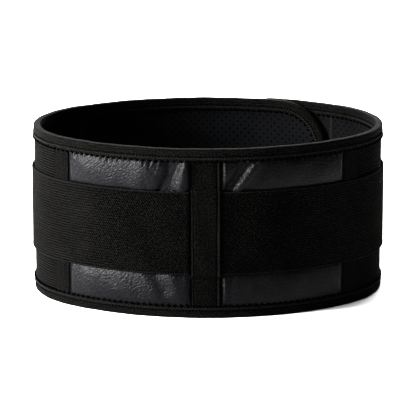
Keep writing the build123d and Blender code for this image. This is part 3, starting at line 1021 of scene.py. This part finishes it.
def makeBindings():
    tape, seam = finishes["bindingTape"], belt["sideSeam"]
    for level, top in (("top", True), ("bottom", False)):
        s, z, inS, inZ = straightEdge(-seam, seam, top)
        piece = bindingAlong(f"bindingBack_{level}", s, z, inS, inZ, tape)
        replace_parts(onBack(piece), f"binding_{level}_back")
        for hand, side in sideNames.items():
            s, z, inS, inZ = straightEdge(hand * seam, flapSeamAt[hand], top)
            piece = bindingAlong(f"bindingSide_{side}_{level}", s, z, inS, inZ, tape, seam)
            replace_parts(onSide(piece, hand), f"binding_{level}_{side}")
    for hand, side in sideNames.items():
        piece = bindingAlong(f"bindingFlap_{side}", *flapEdge(hand), tape, abs(flapSeamAt[hand]))
        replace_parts(onFlap(piece, hand), f"binding_{flapNames[hand]}")


makeBindings()
print("bindings made")


strapLook = {
    "low": 0.042, "high": 0.120, "inner": 0.0066, "outer": 0.0081, "ribPitch": 0.00245,
    "ribHeight": 0.00042,
    "step": (0.003, 0.00035), "selvedge": 0.0012, "tabLength": 0.064, "tabCorner": 0.022,
    "roll": 0.0004, "rollReach": 0.00035, "welt": 0.00016, "tuck": 0.0011, "swell": 0.0003, "sink": 0.00006,
    "plainUntil": (0.06, 0.14),
}


def strapFace(s, z):
    look = strapLook
    edge = np.minimum(z - look["low"], look["high"] - z)
    roll = -look["roll"] * np.exp(-np.maximum(edge, 0) / look["rollReach"])
    welt = look["welt"] * hill(edge, look["selvedge"] * 0.8, 0.0006)
    fromSpine = np.abs(s)
    middle = smoothStep(look["selvedge"], look["selvedge"] + 0.001, edge)
    # plainer weave near the spine
    middle = middle * (0.35 + 0.65 * smoothStep(*look["plainUntil"], fromSpine))
    # drawn in beside the spine tape, then a low swell
    tuck = -look["tuck"] * hill(fromSpine, 0.0143, 0.0009) + look["swell"] * hill(fromSpine, 0.0180, 0.0022)
    rib = ribs(z, look["ribPitch"], look["ribHeight"])
    return look["outer"] - look["sink"] + roll + welt + tuck + rib * middle


def makeStraps():
    look, web = strapLook, finishes["wovenStrap"]
    for hand, side in sideNames.items():
        seam, flapSeam, tabSeam = hand * belt["sideSeam"], flapSeamAt[hand], tabSeamAt[hand]
        sizes = (look["low"], look["high"], look["inner"], strapFace, web, look["step"])
        piece = sheetBetween(f"strapBack_{side}", hand * 0.001, seam, *sizes, fine=0.024)
        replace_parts(onBack(piece), f"strap_back_{side}")
        piece = sheetBetween(f"strapSide_{side}", seam, flapSeam, *sizes)
        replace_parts(onSide(piece, hand), f"strap_side_{side}")
        piece = sheetBetween(f"strapFront_{side}", flapSeam, tabSeam, *sizes)
        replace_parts(onFlap(piece, hand), f"strap_front_{side}")
        tip = tabSeam + hand * look["tabLength"]
        piece = sheetBetween(f"strapTab_{side}", tabSeam, tip, *sizes, corner=look["tabCorner"])
        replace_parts(onTab(piece, hand), f"strap_tab_{side}")


makeStraps()


hookLook = {
    "main": (-0.0006, -0.00006), "tab": (0.0060, 0.00655), "margin": 0.006, "corner": 0.016,
    "step": (0.003, 0.004),
}


def makeHooks():
    look, cloth, margin = hookLook, finishes["hookTape"], hookLook["margin"]
    inset = bindingLook["width"] + margin
    start, tip = frontAt[1] - belt["innerReach"] + belt["flapCorner"], flapTipAt[1] - inset
    piece = sheetBetween(
        "hookPatch_main", start, tip, inset, beltTop - inset, *look["main"], cloth, look["step"],
        corner=belt["flapCorner"] - inset
    )
    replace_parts(piece, "hook_patch_main")
    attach(piece, "outer_flap")
    for hand, side in sideNames.items():
        root = tabSeamAt[hand] + hand * margin
        tip = tabSeamAt[hand] + hand * (strapLook["tabLength"] - margin)
        piece = sheetBetween(
            f"hookPatch_{side}", root, tip, strapLook["low"] + margin, strapLook["high"] - margin,
            *look["tab"], cloth, look["step"], corner=look["corner"]
        )
        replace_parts(onTab(piece, hand), f"hook_patch_{side}")


makeHooks()
print("straps and hooks made")


zigzag = {"pitch": 0.0015, "length": 0.0031, "radius": 0.00033, "slant": 58}
lockStitch = {"pitch": 0.0021, "length": 0.0015, "radius": 0.00042, "slant": 4}
# needle holes, notches at the binding's edge, holes beside lock stitches and the shadow gaps beside seams
# are dark beads laid on the surface: painted shade standing in for these recesses
needleHoleShade = {
    "pitch": 0.0031, "length": 0.0017, "radius": 0.00075, "slant": 0, "inward": 0.0017,
    "thread": "paintedRecessShade",
}
rimNotchShade = {
    "pitch": 0.0058, "length": 0.0030, "radius": 0.0011, "slant": 12, "lift": 0.0003,
    "thread": "paintedRecessShade",
}
seamHoleShade = {"pitch": 0.0021, "length": 0.0010, "radius": 0.00048, "slant": 0, "thread": "paintedRecessShade"}
seamShadow = {"pitch": 0.0012, "length": 0.0020, "radius": 0.00052, "slant": 0, "thread": "paintedRecessShade"}
joiningZigzag = {"pitch": 0.0018, "length": 0.0042, "radius": 0.00042, "slant": 60}


def edgeStitches(s, z, inS, inZ, inward, look, outerSide=True):
    proud = bindingLook["thickness"] + look.get("lift", 0.00002)
    depth = coreDepth(s) + proud if outerSide else np.full(s.shape, -proud)
    points = place(s + inS * inward, depth, z + inZ * inward)
    return seamRow(points, outward(s) * (1 if outerSide else -1), look)


def uprightSeam(s, low, high, depth, look, outerSide=True):
    z = stations(low, high, 0.002)
    at = np.full(z.shape, s)
    return seamRow(place(at, np.full(z.shape, depth), z), outward(at) * (1 if outerSide else -1), look)


def zigzagRows(edge):
    # thread on both faces of a binding, with dark beads laid on as painted shade for the holes that its
    # needle leaves and for the notches at the tape's edge
    middle = bindingLook["seamIn"]
    thread, shadeBeads = [], []
    for outerSide in (True, False):
        thread.append(edgeStitches(*edge, middle, zigzag, outerSide))
        shadeBeads += [edgeStitches(*edge, middle - needleHoleShade["inward"], needleHoleShade, outerSide),
                 edgeStitches(*edge, bindingLook["width"] + 0.0001, rimNotchShade, outerSide)]
    return thread, shadeBeads


def uprightRow(s, low, high, depth, look, shadeLook=None, outerSide=True):
    thread = [uprightSeam(s, low, high, depth, look, outerSide)]
    if shadeLook is None:
        return thread, []
    return thread, [uprightSeam(s, low + shadeLook["pitch"] / 2, high, depth, shadeLook, outerSide)]


seamPlan = {
    "inset": 0.002,                # from the spine tape's ends
    "strapGap": 0.006,
    "tapeDepth": 0.0064,
    "strapDepth": 0.0090,
    "rolledEdge": 0.0010,
    # shadowAt, shadowRuns: painted shadow, dark bead lines along both edges of the spine tape
    "shadowAt": (-0.0141, 0.0134),
    "shadowRuns": ((0.012, 0.0415, 0.0060), (0.0425, 0.1195, 0.0083), (0.1205, 0.148, 0.0060)),
    "besideStrap": ((0.013, 0.0405), (0.1215, 0.147)),
    "coverInsets": (0.0040, 0.0160),
    "coverLift": 0.0007,
    # shadowOut, shadowLift: painted shadow, a dark bead line just outside each stay cover
    "shadowOut": 0.0003,
    "shadowLift": 0.0002,
    "liningRun": (0.0125, 0.1475, -0.0001),
    "liningOffsets": (0.003, 0.0065),
    "joinOffset": 0.004,
    "joinDepth": 0.0055,
    "liningJoinOffset": 0.0035,
}


def spineSeams():
    plan, cover = seamPlan, spineCover
    runs = (
        (cover["low"] + plan["inset"], cover["strapLow"] - plan["strapGap"], plan["tapeDepth"]),
        (cover["strapLow"], cover["strapHigh"], plan["strapDepth"]),
        (cover["strapHigh"] + plan["strapGap"], cover["high"] - plan["inset"], plan["tapeDepth"]),
    )
    rows = []
    for s in (cover["leftSeamAt"], cover["ridgeAt"]):
        lift = plan["rolledEdge"] if s > 0 else 0.0  # along the top of the rolled edge
        rows += [uprightRow(s, low, high, depth + lift, lockStitch, seamHoleShade) for low, high, depth in runs]
    # painted shadow: dark beads along both edges of the spine tape stand in for the shadow gap beside it
    for s in plan["shadowAt"]:
        rows += [([], [uprightSeam(s, *run, seamShadow)]) for run in plan["shadowRuns"]]
    return rows


def coverSeams(hand):
    plan, cover = seamPlan, stayCover
    rows = []
    for run in plan["besideStrap"]:
        for inset in plan["coverInsets"]:
            at = hand * (cover["start"] + inset)
            rows.append(uprightRow(at, *run, cover["inner"] + plan["coverLift"], lockStitch, seamHoleShade))
        # painted shadow: dark beads just outside the stay cover's outer edge
        at = hand * (cover["end"] + plan["shadowOut"])
        rows.append(([], [uprightSeam(at, *run, cover["inner"] + plan["shadowLift"], seamShadow)]))
    for offset in plan["liningOffsets"]:
        at = hand * (belt["sideSeam"] - offset)
        rows.append(uprightRow(at, *plan["liningRun"], lockStitch, seamHoleShade, False))
    return rows


def threadAndShadeBeads(rows):
    return [m for thread, _ in rows for m in thread], [m for _, shadeBeads in rows for m in shadeBeads]


def makeStitching():
    plan, seam = seamPlan, belt["sideSeam"]
    back = [zigzagRows(straightEdge(-seam, seam, top)) for top in (True, False)]
    back += spineSeams() + coverSeams(-1) + coverSeams(1)
    thread, shadeBeads = threadAndShadeBeads(back)
    onBack(joined("stitchingBack", thread))
    onBack(joined("recessShadeBack", shadeBeads))
    for hand, side in sideNames.items():
        end = flapSeamAt[hand]
        rows = [zigzagRows(straightEdge(hand * seam, end, top)) for top in (True, False)]
        at = end - hand * plan["joinOffset"]
        rows += [uprightRow(at, *run, plan["joinDepth"], joiningZigzag) for run in plan["besideStrap"]]
        at = end - hand * plan["liningJoinOffset"]
        rows.append(uprightRow(at, *plan["liningRun"], joiningZigzag, None, False))
        thread, shadeBeads = threadAndShadeBeads(rows)
        onSide(joined(f"stitchingSide_{side}", thread), hand)
        onSide(joined(f"recessShadeSide_{side}", shadeBeads), hand)
        thread, shadeBeads = zigzagRows(flapEdge(hand))
        onFlap(joined(f"stitchingFlap_{side}", thread), hand)
        onFlap(joined(f"recessShadeFlap_{side}", shadeBeads), hand)


makeStitching()
print("stitching made")


# the hidden stays and their tips keep their CAD meshes and take a finish
for name, node in frame["nodes"].items():
    if name.startswith(("spine_stay", "side_stay")) or name == "stay_tips":
        node.data.materials.clear()
        node.data.materials.append(finishes["dippedTip" if name == "stay_tips" else "springSteel"])


studio = {
    "floorSize": 14.0, "floorColour": (0.90, 0.90, 0.90), "world": 0.15,
    "lights": {  # place, target, size, power, colour
        "overheadSoftbox": ((-0.3, 0.6, 2.6), (0, 0, 0), (3.4, 3.4), 100.0, (1, 1, 1)),
        "keySoftbox": ((-2.35, -0.85, 1.05), (0, 0, 0.08), (0.9, 1.1), 345.0, (1.0, 0.995, 0.985)),
        "backRightSoftbox": ((0.7, 2.7, 1.4), (0, 0, 0.08), (1.5, 1.5), 130.0, (1, 1, 1)),
        "backLeftSoftbox": ((-1.4, 2.4, 1.5), (0, 0, 0.08), (1.5, 1.5), 150.0, (1, 1, 1)),
    },
}
cameraLook = {"place": (0.0, -2.8128, 0.7353), "pitch": 13.21, "lens": 259.6}


def makeStudio():
    bpy.ops.mesh.primitive_plane_add(size=studio["floorSize"], location=(0, 0, 0))
    floor = bpy.context.object
    floor.name = "floor"
    material, tree, shader = nodeMaterial("paleFloor")
    shader.inputs["Base Color"].default_value = (*studio["floorColour"], 1)
    shader.inputs["Roughness"].default_value = 0.9
    shader.inputs["Specular IOR Level"].default_value = 0.1
    floor.data.materials.append(material)
    world = bpy.data.worlds.new("studio")
    world.use_nodes = True
    world.node_tree.nodes["Background"].inputs[0].default_value = (1, 1, 1, 1)
    world.node_tree.nodes["Background"].inputs[1].default_value = studio["world"]
    bpy.context.scene.world = world
    for name, (spot, target, size, power, colour) in studio["lights"].items():
        data = bpy.data.lights.new(name, "AREA")
        data.shape, data.size, data.size_y = "RECTANGLE", *size
        data.energy, data.color = power, colour
        lamp = bpy.data.objects.new(name, data)
        lamp.location = spot
        lamp.rotation_euler = (Vector(target) - Vector(spot)).to_track_quat("-Z", "Y").to_euler()
        bpy.context.scene.collection.objects.link(lamp)
    camera = bpy.data.objects.new("camera", bpy.data.cameras.new("camera"))
    camera.location = cameraLook["place"]
    camera.rotation_euler = (radians(90 - cameraLook["pitch"]), 0, 0)
    camera.data.lens, camera.data.sensor_width = cameraLook["lens"], 36.0
    camera.data.clip_end = 50
    bpy.context.scene.collection.objects.link(camera)
    bpy.context.scene.camera = camera
    bpy.context.scene.view_settings.view_transform = "Standard"
    bpy.context.scene.view_settings.look = "High Contrast"


makeStudio()
print("scene ready")
